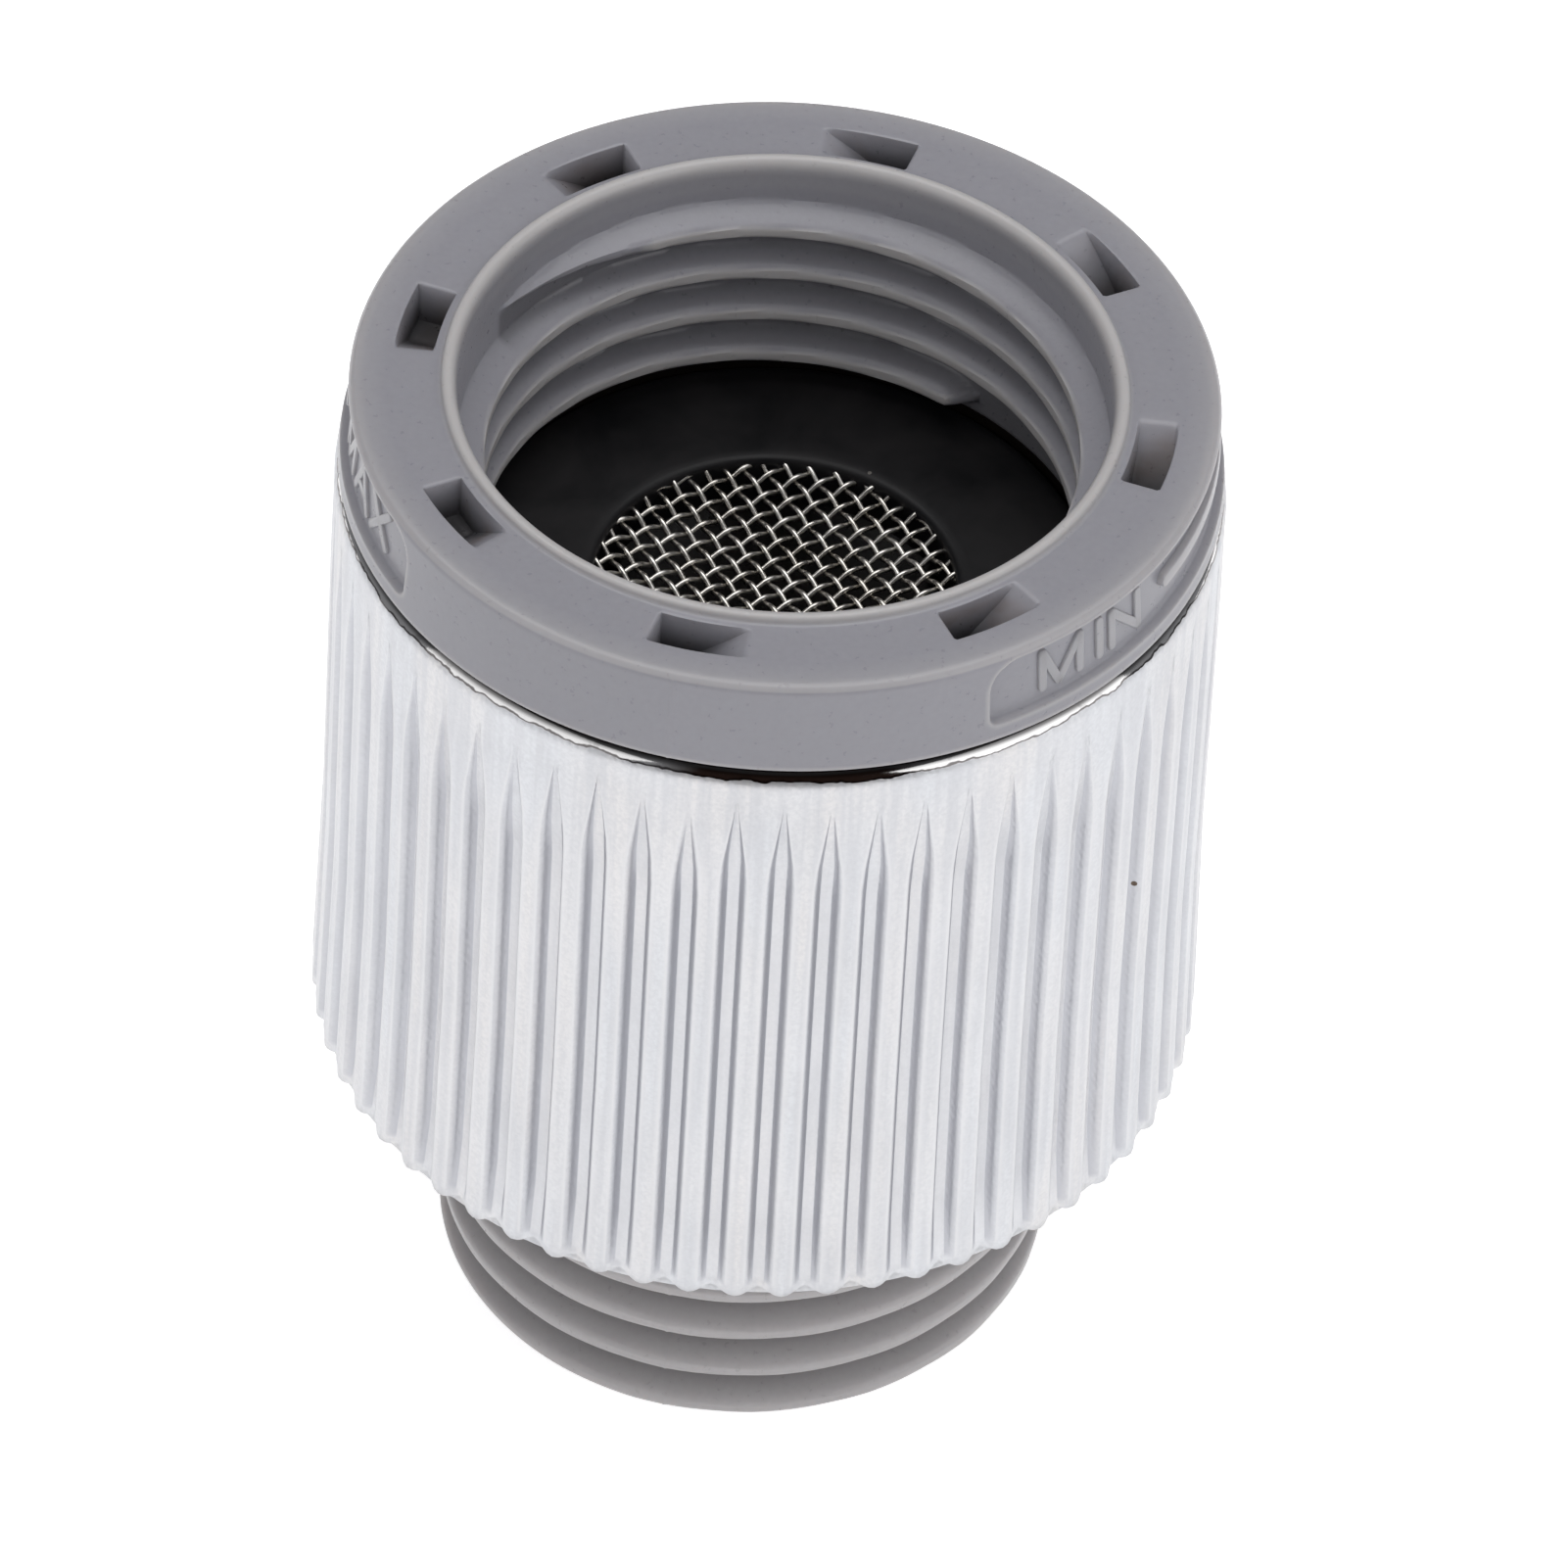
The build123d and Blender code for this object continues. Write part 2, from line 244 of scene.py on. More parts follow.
cutter_r = np.vstack([cutter_outer_r * one_row, cutter_outer_r * one_row, thread_r[::-1]])
cutter_z = np.vstack([spigot_level[0] * one_row, spigot_level[-1] * one_row, level[::-1]])

# The solid's foot chamfer is brought from 0.9 to 0.5 mm, and its foot is widened to match
solid_foot_r, shown_foot_r, solid_chamfer = 9.5, 9.9, 0.9
core_skin = merged_copy("outlet_core")
for point in core_skin.vertices:
    away = Vector((point.co.x, point.co.y, 0.0)).length
    if point.co.z < 0.01 * mm and abs(away - solid_foot_r * mm) < 0.05 * mm:
        point.co.x, point.co.y = (c * shown_foot_r / solid_foot_r for c in (point.co.x, point.co.y))
    elif abs(point.co.z - solid_chamfer * mm) < 0.01 * mm and away > 10.3 * mm:
        point.co.z = foot_chamfer * mm
core = shown("outlet_core_moulding", core_skin, warm_grey_plastic)
thread_gap = shown("thread_gap", revolved("thread_gap", spigot_bearing, cutter_r, cutter_z), warm_grey_plastic)
core = cut(core, thread_gap)
core.data.shade_smooth()
core.data.set_sharp_from_angle(angle=radians(40.0))

# The flat foot is shaded flat, and shade is painted near black in the chamber and in the thread's roots
spots = np.empty(3 * len(core.data.vertices), np.float32)
core.data.vertices.foreach_get("co", spots)
spots = spots.reshape(-1, 3) / mm
edge_ends = np.empty(2 * len(core.data.edges), np.int32)
core.data.edges.foreach_get("vertices", edge_ends)
on_foot = (np.abs(spots[edge_ends, 2]) < 0.002).reshape(-1, 2).all(axis=1)
sharp = np.empty(len(core.data.edges), bool)
core.data.edges.foreach_get("use_edge_sharp", sharp)
core.data.edges.foreach_set("use_edge_sharp", sharp | on_foot)
# Painted shade: the chamber under the screen and the thread's roots are darkened where shade falls
off_axis = np.hypot(spots[:, 0], spots[:, 1])
chamber = (off_axis < 8.8) & (spots[:, 2] > 12.0)
thread_root = (off_axis > 9.0) & (spots[:, 2] > 0.6) & (spots[:, 2] < 11.25)
painted_core_shade = chamber + 0.42 * thread_root * np.clip((10.25 - off_axis) / 0.95, 0.0, 1.0)
core.data.attributes.new("grime", "FLOAT", "POINT").data.foreach_set("value", painted_core_shade.astype(np.float32))
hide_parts("outlet_core")
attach(core, "valve_body")

# --- Port ring
# The ring of white acetal that the sleeve turns over the core's upper ports. It drops over the tube
# from above, and two ribs of the sleeve sit in its slots.
white_plastic = moulded_plastic(
    "white_acetal", (0.72, 0.71, 0.68, 1.0), (0.8, 0.79, 0.77, 1.0), (0.3, 0.26, 0.2, 1.0))
ring_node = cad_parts["port_ring"]
ring_node.data.materials.clear()
ring_node.data.materials.append(white_plastic)

# --- Seals
# Two rings of black nitrile rubber that keep the water in. They sit in the corners between the
# sleeve's counterbores and the fixed flange and collar, squeezed in place.
black_rubber, tree = blank_material("black_nitrile")
skin = group_node(tree, grain, Grain_Scale=2600.0, Mottle_Scale=300.0)
dust = group_node(tree, flecks, Cell_Scale=700.0, Share=0.05, Size=0.08)
tone = ranged(tree, skin.outputs["Tone"], 0.35, 0.65, 0.0, 1.0)
black = blend(tree, tone, (0.006, 0.006, 0.007, 1), (0.014, 0.013, 0.014, 1))
black = blend(tree, dust.outputs["Mask"], black, (0.13, 0.12, 0.11, 1))
bump = put(tree, "ShaderNodeBump", {"Height": skin.outputs["Height"], "Strength": 0.1, "Distance": 0.00005})
rubber_shader = put(tree, "ShaderNodeBsdfPrincipled", {
    "Base Color": black, "Roughness": ranged(tree, skin.outputs["Tone"], 0.3, 0.7, 0.34, 0.5),
    "Normal": bump.outputs[0], "IOR": 1.5, "Specular IOR Level": 0.2})
put(tree, "ShaderNodeOutputMaterial", {"Surface": rubber_shader.outputs[0]})
for seal in ("lower_seal", "upper_seal"):
    seal_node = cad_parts[seal]
    seal_node.data.materials.clear()
    seal_node.data.materials.append(black_rubber)

# --- Grip sleeve
# The knob of the valve: a die-cast sleeve with sixty ribs, chrome plated over a blasted skin, bright
# only on its rolled rim. It turns between the flange and the collar and drives the port ring.
rib_count = 60
rib_pitch = tau / rib_count
groove_floor_half, groove_flank, groove_depth = 0.20, 0.235, 0.45
groove_top_z, groove_fade_long = 33.5, 4.9
crest_z = [11.3, 16.0, 20.0, 30.0, 33.9]
crest_r = [14.86, 14.71, 14.58, 14.45, 14.35]
half_steps = 7  # lines from a groove's middle to a rib's middle
sector_steps = [(-1, n) for n in range(half_steps, -1, -1)] + [(1, n) for n in range(1, half_steps + 1)]
sleeve_bottom_z, counterbore_top_z, foot_root_r = 11.17, 11.3, 14.6
# The foot of the side: level, and the share of the way from the foot's outline to the groove's own radius
foot_rows = ((11.63, 0.1), (11.7, 0.4), (11.79, 0.8), (11.9, 1.0), (12.1, 1.0), (12.5, 1.0), (13.2, 1.0))
side_levels = [14.0, 16.0, 18.0, 20.0, 22.0, 24.0, 26.0, 27.5, 28.5]
side_levels += [28.5 + 0.25 * n for n in range(1, 21)] + [33.65]
# The rolled rim: radius, level, polish, and painted shade in the gap under the collar
sleeve_rim_rows = (
    (14.36, 33.88, 0.0, 0), (14.36, 34.0, 0.0, 0), (14.345, 34.12, 0.0, 0), (14.31, 34.22, 0.15, 0),
    (14.26, 34.31, 0.6, 0), (14.19, 34.4, 1.0, 0.1), (14.11, 34.48, 1.0, 0.75), (14.03, 34.55, 1.0, 1),
    (13.96, 34.6, 1.0, 1), (13.8, 34.67, 1.0, 1), (13.5, 34.7, 1.0, 1))
bore_rows = ((13.5, 33.75), (12.6, 33.75), (12.6, 30.0), (12.6, 24.0), (12.6, 18.0), (12.6, 13.45), (13.5, 13.45))


def groove_at(z, outer, step):
    """Bearing, depth, painted flank shade and painted edge highlight of one line of a groove, at a height on the
    sleeve's side.
    """
    grown = min(max((groove_top_z - z) / groove_fade_long, 0.0), 1.0)
    floor_half = groove_floor_half * min(1.0, grown / 0.62)
    flank = groove_flank * min(1.0, grown / 0.8)
    depth = groove_depth * min(1.0, (grown / 0.95) ** 1.15)
    half_pitch = 0.5 * rib_pitch * outer
    even = half_pitch * step / half_steps
    own = [0.0, 0.87 * floor_half, floor_half + 0.05 * flank, floor_half + 0.5 * flank, floor_half + 0.92 * flank,
           floor_half + 1.14 * flank + 0.01, floor_half + 1.5 * flank + 0.03, half_pitch][step]
    across = even + (own - even) * min(1.0, grown / 0.12)
    up_flank = (across - floor_half) / max(flank, 0.01)
    sunk = depth * np.interp(up_flank, [-0.3, 0.08, 0.5, 0.92, 1.14, 1.4], [1.0, 0.95, 0.5, 0.06, 0.012, 0.0])
    # Painted shade on the groove's flanks, standing in for the shade between the ribs
    dark = np.interp(up_flank, [-0.1, 0.05, 0.5, 0.92, 1.1], [0.0, 1.0, 0.65, 0.25, 0.0])
    # Painted highlight along the edge where a flank meets the rib's crest
    painted_edge_glint = np.interp(up_flank, [0.9, 1.14, 1.5, 1.9], [0.0, 1.0, 0.4, 0.0])
    dark *= min(1.0, max(0.0, (grown - 0.12) / 0.3))
    return across / outer, sunk, dark, painted_edge_glint * min(1.0, grown / 0.1)


def sleeve_column(side, step):
    """One line down the sleeve's wall, from the foot's bottom up the outside and down the bore."""
    line = []

    def add(r, z, angle, dark=0.0, painted_edge_glint=0.0, polish=0.0, sunk=0.0, grime=0.0):
        line.append((r, z, side * angle, dark, painted_edge_glint, polish, sunk, grime))

    even = 0.5 * rib_pitch * step / half_steps
    foot_r = float(np.interp(12.6, crest_z, crest_r))
    angle, foot_sunk, painted_foot_shade, painted_foot_glint = groove_at(12.6, foot_r, step)
    lobe = (0.5 - 0.5 * cos(tau * angle / rib_pitch)) ** 0.75
    edge_z, lobe_r = 11.5 - 0.31 * lobe, foot_root_r + 0.26 * lobe
    add(13.5, counterbore_top_z, angle)
    add(14.3, counterbore_top_z, angle)
    add(14.42, sleeve_bottom_z, angle)
    add(14.55, sleeve_bottom_z, angle)
    add(foot_root_r, sleeve_bottom_z + 0.3 * (edge_z - sleeve_bottom_z), angle)
    add(foot_root_r, edge_z - 0.008, angle)
    add(foot_root_r + 0.2 * lobe, edge_z + 0.02, angle)
    # A painted highlight on the lower edge of each rib's lobe
    add(lobe_r, edge_z + 0.09, angle, painted_edge_glint=0.25)
    for z, share in foot_rows:
        shallow = 1.0 - 0.45 * min(1.0, (14.0 - z) / 2.4)
        groove_r = float(np.interp(z, crest_z, crest_r)) - foot_sunk * shallow
        add(lobe_r + share * (groove_r - lobe_r), z, angle, painted_foot_shade * max(0.0, share * 2.0 - 1.0),
            painted_foot_glint * share, 0.0, foot_sunk / groove_depth * share)
    for z in side_levels:
        outer = float(np.interp(z, crest_z, crest_r))
        angle, sunk, dark, painted_edge_glint = groove_at(z, outer, step)
        add(outer - sunk, z, angle, dark, painted_edge_glint, 0.0, sunk / groove_depth)
    for r, z, polish, grime in sleeve_rim_rows:
        add(r, z, even, polish=polish, grime=grime)
    for r, z in bore_rows:
        add(r, z, even)
    return line


columns = np.array([sleeve_column(side, step) for side, step in sector_steps])
sector = bpy.data.meshes.new("rib_sector")
rows = columns.shape[1]
points, faces = [], []
for column in columns:
    points += [(r * cos(a) * mm, r * sin(a) * mm, z * mm) for r, z, a, *_ in column]
for c in range(len(columns) - 1):
    for r in range(rows):
        on = (r + 1) % rows
        faces.append((c * rows + r, (c + 1) * rows + r, (c + 1) * rows + on, c * rows + on))
sector.from_pydata(points, [], faces)
for index, mask in ((3, "flank"), (4, "crease"), (5, "polish"), (6, "sunk"), (7, "grime")):
    layer = sector.attributes.new(mask, "FLOAT", "POINT")
    layer.data.foreach_set("value", columns[:, :, index].astype(np.float32).ravel())

satin_chrome, tree = blank_material("satin_chrome_plating")
place = put(tree, "ShaderNodeTexCoord").outputs["Object"]
skin = group_node(tree, grain, Grain_Scale=7000.0, Mottle_Scale=260.0)
fleck = group_node(tree, flecks, Cell_Scale=330.0, Share=0.03, Size=0.07)
streak_place = put(tree, "ShaderNodeMapping", {"Vector": place, "Scale": (3000.0, 3000.0, 110.0)})
streak = put(tree, "ShaderNodeTexNoise", {"Vector": streak_place.outputs[0], "Scale": 1.0, "Detail": 3.0})
tint_place = put(tree, "ShaderNodeMapping", {"Vector": place, "Scale": (420.0, 420.0, 110.0)})
tint = put(tree, "ShaderNodeTexNoise", {"Vector": tint_place.outputs[0], "Scale": 1.0, "Detail": 1.0})
warm = ranged(tree, tint.outputs["Fac"], 0.40, 0.62, 0.0, 1.0)
silver = blend(tree, warm, (0.625, 0.635, 0.66, 1), (0.655, 0.645, 0.65, 1))
silver = blend(tree, ranged(tree, streak.outputs["Fac"], 0.42, 0.62, 0.0, 0.75), silver, (0.555, 0.56, 0.585, 1))
silver = blend(tree, ranged(tree, skin.outputs["Height"], 0.38, 0.62, 0.0, 0.4), silver, (0.51, 0.515, 0.54, 1))
# Painted light: the groove floors are made paler to offset the shade that falls in them
silver = blend(tree, ranged(tree, carried(tree, "sunk"), 0.3, 1.0, 0.0, 0.5), silver, (0.66, 0.66, 0.68, 1))
# Painted shade on the groove flanks
silver = blend(tree, carried(tree, "flank"), silver, (0.47, 0.475, 0.51, 1))
# Painted highlight on the crest edges
silver = blend(tree, carried(tree, "crease"), silver, (0.64, 0.64, 0.655, 1))
rim_noise = put(tree, "ShaderNodeTexNoise", {"Vector": place, "Scale": 1500.0, "Detail": 2.0})
ragged = calc(tree, "ADD", carried(tree, "polish"), ranged(tree, rim_noise.outputs["Fac"], 0.35, 0.65, -0.2, 0.2))
mirror = ranged(tree, ragged, 0.5, 0.58, 0.0, 1.0)
silver = blend(tree, mirror, silver, (0.80, 0.79, 0.79, 1))
# A dark strip at the lower part of the polished band: a painted dark reflection
painted_dark_band = calc(tree, "MULTIPLY", mirror, ranged(tree, ragged, 0.72, 0.82, 1.0, 0.0))
silver = blend(tree, painted_dark_band, silver, (0.16, 0.15, 0.15, 1))
# Painted shade: near black on the rim's top, in the gap under the collar
silver = blend(tree, carried(tree, "grime"), silver, (0.015, 0.013, 0.013, 1))
silver = blend(tree, fleck.outputs["Mask"], silver, (0.12, 0.09, 0.07, 1))
dull = ranged(tree, skin.outputs["Tone"], 0.3, 0.7, 0.38, 0.48)
roughness, metal = between(tree, mirror, dull, 0.07), between(tree, mirror, 0.9, 1.0)
weave_place = put(tree, "ShaderNodeMapping", {"Vector": place, "Rotation": (0.0, 0.5, 0.0), "Scale": (1.0, 1.0, 1.0)})
weave = put(tree, "ShaderNodeTexWave", {
    "Vector": weave_place.outputs[0], "Scale": 1500.0, "Distortion": 3.0, "Detail": 2.0})
height = between(tree, 0.15, skin.outputs["Height"], weave.outputs["Fac"])
bump = put(tree, "ShaderNodeBump", {
    "Height": height, "Strength": ranged(tree, mirror, 0.0, 1.0, 0.30, 0.01), "Distance": 0.00005})
chrome_shader = put(tree, "ShaderNodeBsdfPrincipled", {
    "Base Color": silver, "Roughness": roughness, "Metallic": metal, "Normal": bump.outputs[0]})
put(tree, "ShaderNodeOutputMaterial", {"Surface": chrome_shader.outputs[0]})


def geometry_tree(name, lengths, counts):
    """An empty Geometry Nodes tree with named inputs, and the sockets that its inputs come out of."""
    tree = bpy.data.node_groups.new(name, "GeometryNodeTree")
    kinds = [("Geometry", "Geometry")] + [(title, "Float") for title in lengths]
    kinds += [(title, "Int") for title in counts] + [("Finish", "Material")]
    for title, kind in kinds:
        tree.interface.new_socket(title, in_out="INPUT", socket_type="NodeSocket" + kind)
    tree.interface.new_socket("Geometry", in_out="OUTPUT", socket_type="NodeSocketGeometry")
    return tree, put(tree, "NodeGroupInput").outputs


ribs, given = geometry_tree("ribs_round_the_sleeve", ("First Rib", "Run-out Play", "Join Distance"), ("Ribs", "Seed"))
spots = put(ribs, "GeometryNodePoints", {"Count": given["Ribs"]})
number = put(ribs, "GeometryNodeInputIndex").outputs[0]
bearing = calc(ribs, "MULTIPLY_ADD", number, calc(ribs, "DIVIDE", tau, given["Ribs"]), given["First Rib"])
spin = put(ribs, "ShaderNodeCombineXYZ", {"Z": bearing})
turned_ribs = put(ribs, "GeometryNodeInstanceOnPoints", {
    "Points": spots.outputs[0], "Instance": given["Geometry"], "Rotation": spin.outputs[0]})
play = put(ribs, "FunctionNodeRandomValue", {2: -1.0, 3: 1.0, "ID": number, "Seed": given["Seed"]}, data_type="FLOAT")
marked = put(
    ribs, "GeometryNodeStoreNamedAttribute",
    {"Geometry": turned_ribs.outputs[0], "Name": "own_play", "Value": play.outputs[1]},
    data_type="FLOAT", domain="INSTANCE")
real = put(ribs, "GeometryNodeRealizeInstances", {"Geometry": marked.outputs[0]})
own = put(ribs, "GeometryNodeInputNamedAttribute", {"Name": "own_play"}, data_type="FLOAT").outputs[0]
sunk = put(ribs, "GeometryNodeInputNamedAttribute", {"Name": "sunk"}, data_type="FLOAT").outputs[0]
spot = put(ribs, "ShaderNodeSeparateXYZ", {0: put(ribs, "GeometryNodeInputPosition").outputs[0]}).outputs["Z"]
high = put(ribs, "ShaderNodeMapRange", {
    "Value": spot, "From Min": 0.024, "From Max": 0.0305}, interpolation_type="SMOOTHSTEP").outputs[0]
weight = put(ribs, "ShaderNodeMapRange", {"Value": sunk, "From Min": 0.0, "From Max": 0.05}).outputs[0]
shift = calc(ribs, "MULTIPLY", calc(ribs, "MULTIPLY", own, given["Run-out Play"]), high)
shift = calc(ribs, "MULTIPLY", shift, weight)
moved = put(ribs, "GeometryNodeSetPosition", {
    "Geometry": real.outputs[0], "Offset": put(ribs, "ShaderNodeCombineXYZ", {"Z": shift}).outputs[0]})
joined = put(ribs, "GeometryNodeMergeByDistance", {"Geometry": moved.outputs[0], "Distance": given["Join Distance"]})
finished = put(ribs, "GeometryNodeSetMaterial", {"Geometry": joined.outputs[0], "Material": given["Finish"]})
put(ribs, "NodeGroupOutput", {"Geometry": finished.outputs[0]})


def plain_mesh(piece, tree, **inputs):
    """The piece with a node tree run over it, as a plain mesh without the modifier."""
    modifier = piece.modifiers.new("made", "NODES")
    modifier.node_group = tree
    for item in tree.interface.items_tree:
        key = item.name.replace(" ", "_").replace("-", "_")
        if item.in_out == "INPUT" and key in inputs:
            modifier[item.identifier] = inputs[key]
    result = bpy.data.meshes.new_from_object(piece.evaluated_get(bpy.context.evaluated_depsgraph_get()))
    piece.modifiers.remove(modifier)
    piece.data = result
    return piece


sleeve = shown("grip_sleeve_casting", sector, satin_chrome)
sleeve = plain_mesh(sleeve, ribs, Ribs=rib_count, First_Rib=0.5 * rib_pitch, Run_out_Play=0.00045,
                    Join_Distance=0.000002, Seed=7, Finish=satin_chrome)


def inner_block(name, inner_r, outer_r, low_z, high_z, start, span):
    """A closed block inside the sleeve between two radii and two bearings, in degrees."""
    block = bmesh.new()
    steps = 8
    stations = [radians(start + span * n / steps) for n in range(steps + 1)]
    corners = ((inner_r, low_z), (outer_r, low_z), (outer_r, high_z), (inner_r, high_z))
    rings = [[block.verts.new((r * cos(a) * mm, r * sin(a) * mm, z * mm)) for r, z in corners] for a in stations]
    for one, two in zip(rings, rings[1:]):
        for n in range(4):
            block.faces.new((one[n], one[(n + 1) % 4], two[(n + 1) % 4], two[n]))
    block.faces.new(rings[0][::-1])
    block.faces.new(rings[-1])
    bmesh.ops.recalc_face_normals(block, faces=block.faces)
    mesh = bpy.data.meshes.new(name)
    block.to_mesh(mesh)
    block.free()
    return mesh


# Two ribs that sit in the port ring's slots, and the lug that stops in the core's groove
drive_width, drive_mid_r = 4.0, 11.3
drive_half = 0.5 * drive_width / drive_mid_r * 180 / pi
whole = bmesh.new()
whole.from_mesh(sleeve.data)
for name, block in (("drive_rib_back", (10.05, 13.0, 20.5, 24.6, 90 - drive_half, 2 * drive_half)),
                    ("drive_rib_front", (10.05, 13.0, 20.5, 24.6, 270 - drive_half, 2 * drive_half)),
                    ("stop_lug", (9.95, 13.0, 16.0, 17.2, 80.0, 20.0))):
    whole.from_mesh(inner_block(name, *block))
whole.to_mesh(sleeve.data)
whole.free()
sleeve.data.shade_smooth()
sleeve.data.set_sharp_from_angle(angle=radians(62.0))
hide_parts("grip_sleeve")
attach(sleeve, "sleeve")

# --- Inlet collar
# The fixed top of the valve, moulded in the same grey acetal: a threaded socket with a low lip, eight
# drive pockets for the assembly tool, and a long recess round its side that carries the turning marks.
grey_plastic = moulded_plastic(
    "grey_acetal", (0.292, 0.288, 0.318, 1.0), (0.48, 0.465, 0.46, 1.0), (0.16, 0.105, 0.07, 1.0))

# The bearings of the skin's columns: even ones, and close ones where an edge runs down
collar_columns = [np.arange(0.0, 360.0, 1.5)]
pockets, first_pocket = 8, 33.5
pocket_pitch = 360.0 / pockets
pocket_in_r, pocket_mid_r, pocket_out_r, pocket_wall = 11.3, 11.95, 12.6, 1.35
for n in range(pockets):
    arc = np.array([
        -0.12, -0.05, -0.01, 0.03, 0.07, 0.13, 0.3, 1.12, 1.2, 1.28, 2.75, 2.88, 2.96, 3.04, 3.15]) - pocket_wall
    collar_columns.append(first_pocket + pocket_pitch * n + np.degrees(arc / pocket_mid_r))
label_ends, label_r = (299.5, 214.5), 14.0
for n, inward in ((0, 1), (1, -1)):
    arc = np.array([-0.2, -0.1, -0.04, 0.0, 0.04, 0.09, 0.16, 0.25, 0.35, 0.45, 0.55, 0.65, 0.75, 0.85, 0.95, 1.1])
    collar_columns.append(label_ends[n] + inward * np.degrees(arc / label_r))
collar_columns.append(seam_bearing + np.array([-0.5, -0.25, 0.0, 0.25, 0.5]))
collar_turns = np.sort(np.concatenate(collar_columns) % 360.0)
collar_turns = np.radians(collar_turns[np.concatenate([[True], np.diff(collar_turns) > 0.06])])

# Radius and level of the skin's rows, from the seat in the tube outwards, up, in over the lip and down
outer_rows = [(8.9, 24.8), (10.5, 24.8), (12.44, 24.8), (12.52, 24.88), (12.52, 28.0), (12.52, 32.0), (12.52, 34.72),
              (12.58, 34.8), (13.4, 34.8), (14.16, 34.8), (14.235, 34.82), (14.26, 34.87)]
wall_levels = [35.0, 35.2, 35.31, 35.36, 35.40, 35.44, 35.49, 35.55, 35.62, 35.7, 35.85, 36.1, 36.4, 36.7, 36.8,
               36.9, 37.0, 37.1, 37.2, 37.3, 37.4, 37.5, 37.56, 37.62, 37.67, 37.72, 37.77, 37.82, 37.87]
wall_foot_r, wall_foot_z, wall_in, wall_high = 14.26, 34.8, 0.27, 2.7
round_start_z, round_high, top_face_r = 37.74, 0.31, 13.68


def wall_r(z):
    """Radius of the collar's drafted side, with the round edge at its top."""
    straight = wall_foot_r - wall_in * (z - wall_foot_z) / wall_high
    if z <= round_start_z:
        return straight
    return top_face_r + (straight - top_face_r) * (max(0.0, 1.0 - ((z - round_start_z) / round_high) ** 2)) ** 0.5


side_rows = [(wall_r(z), z) for z in wall_levels]
edge_rows = [(wall_r(z), z) for z in (37.92, 37.96, 37.99, 38.02, 38.038)]
top_rows = [(r, 38.05) for r in (
    13.6, 13.45, 13.25, 13.0, 12.85, 12.75, 12.69, 12.65, 12.61, 12.57, 12.52, 12.45, 12.2, 11.95, 11.7,
    11.47, 11.38, 11.33, 11.29, 11.25, 11.21, 11.15)]
lip_rows = [(11.08, 38.055), (11.03, 38.08), (11.0, 38.13), (10.99, 38.19), (10.96, 38.245), (10.91, 38.285),
            (10.84, 38.3), (10.74, 38.295), (10.66, 38.26), (10.58, 38.16), (10.53, 38.03), (10.505, 37.9),
            (10.5, 37.7), (10.5, 37.3)]
socket_root_r, socket_ridge = 10.48, 0.93
socket_rows = [(socket_root_r, z) for z in np.arange(37.1, 29.75, -0.085)]
tail_rows = [(10.52, 29.68), (10.6, 29.6), (10.6, 29.2), (10.6, 27.4), (8.9, 27.4), (8.9, 26.0)]
skin_rows = outer_rows + side_rows + edge_rows + top_rows + lip_rows + socket_rows + tail_rows
count = len(collar_turns)
collar_r = np.repeat(np.array([r for r, z in skin_rows])[:, None], count, axis=1)
collar_z = np.repeat(np.array([z for r, z in skin_rows])[:, None], count, axis=1)
turn = np.repeat(collar_turns[None, :], len(skin_rows), axis=0)
thin = np.zeros_like(collar_r)
stain = np.zeros_like(collar_r)
grime = np.zeros_like(collar_r)
# Painted shade: the seat under the washer, seen through the screen, is near black
grime[-5:] = 1.0  # the seat under the washer


def part_of(rows, after):
    """The slice of the skin's rows that one group of rows makes, given the groups that come before it."""
    start = sum(len(group) for group in after)
    return slice(start, start + len(rows))


# The recess: sunk inside a field with round corners
side = part_of(side_rows, (outer_rows,))
recess_depth, recess_mid_z = 0.3, 36.58
span = (label_ends[1] - (label_ends[0] - 360.0)) / 2
middle = radians(label_ends[0] - 360.0 + span)
along = ((turn[side] - middle + pi) % tau - pi) * label_r
up = collar_z[side] - recess_mid_z
half_long, half_high = radians(span) * label_r, 1.17
corner = np.where(up > 0, 1.1, 0.35)
past_end, past_edge = np.abs(along) - half_long + corner, np.abs(up) - half_high + corner
outside = np.hypot(np.maximum(past_end, 0), np.maximum(past_edge, 0))
distance = -(outside + np.minimum(np.maximum(past_end, past_edge), 0) - corner)
collar_r[side] -= recess_depth * np.interp(distance, [-0.05, 0.0, 0.04, 0.09, 0.16], [0.0, 0.06, 0.35, 0.9, 1.0])
# Painted highlight along the recess's border
thin[side] = np.maximum(thin[side], 0.45 * np.exp(-(distance + 0.06) ** 2 / 0.006))

# The mould's parting line
wall_rows = slice(side.start - 2, side.stop + len(edge_rows))
collar_r[wall_rows] += 0.022 * np.exp(-((turn[wall_rows] - radians(seam_bearing)) / radians(0.2)) ** 2)

